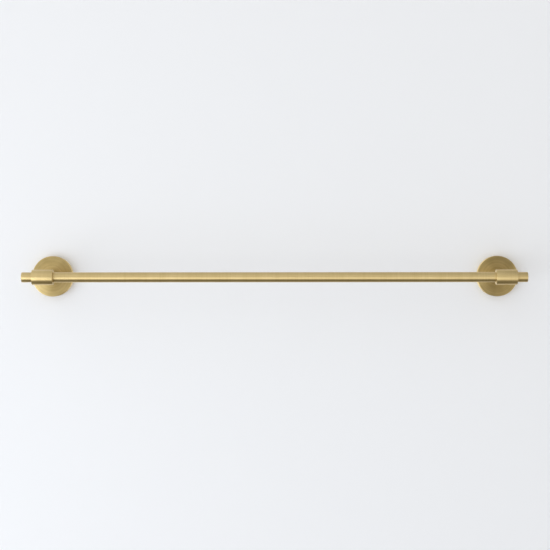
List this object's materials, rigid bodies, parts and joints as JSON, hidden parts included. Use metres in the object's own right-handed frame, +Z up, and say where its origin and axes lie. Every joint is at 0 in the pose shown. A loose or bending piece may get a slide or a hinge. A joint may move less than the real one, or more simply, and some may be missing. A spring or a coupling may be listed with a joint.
{
  "type": "towel rail",
  "caption": "Wall-mounted towel rail: a round brushed-brass bar held near its ends in sleeve collars on short posts, with round cover plates over hidden wall brackets.",
  "frame": {"origin": "on the wall plane, level with the bar, midway between the posts and in the middle of the wall screws", "axes": "+X along the bar, to the right as seen from the room; +Y into the wall; +Z up"},
  "size_m": [0.6, 0.119, 0.05],
  "materials": {
    "brushed_brass": "satin, brushed in rings on the plates' fronts and round the bar, collars and posts",
    "bracket_zinc": "zinc plated, dull",
    "steel_fixings": "plain stainless steel"
  },
  "bodies": {
    "root": {"rail_bar": "brushed_brass", "collar_left": "brushed_brass", "collar_right": "brushed_brass", "post_left": "brushed_brass", "post_right": "brushed_brass", "cover_plate_left": "brushed_brass", "cover_plate_right": "brushed_brass", "wall_bracket_left": "bracket_zinc", "wall_bracket_right": "bracket_zinc", "post_bolt_left": "steel_fixings", "post_bolt_right": "steel_fixings", "post_washer_left": "steel_fixings", "post_washer_right": "steel_fixings", "collar_grub_screw_left": "steel_fixings", "collar_grub_screw_right": "steel_fixings", "cover_grub_screw_left": "steel_fixings", "cover_grub_screw_right": "steel_fixings", "wall_screw_left_upper": "steel_fixings", "wall_screw_left_lower": "steel_fixings", "wall_screw_right_upper": "steel_fixings", "wall_screw_right_lower": "steel_fixings"}
  },
  "joints": []
}
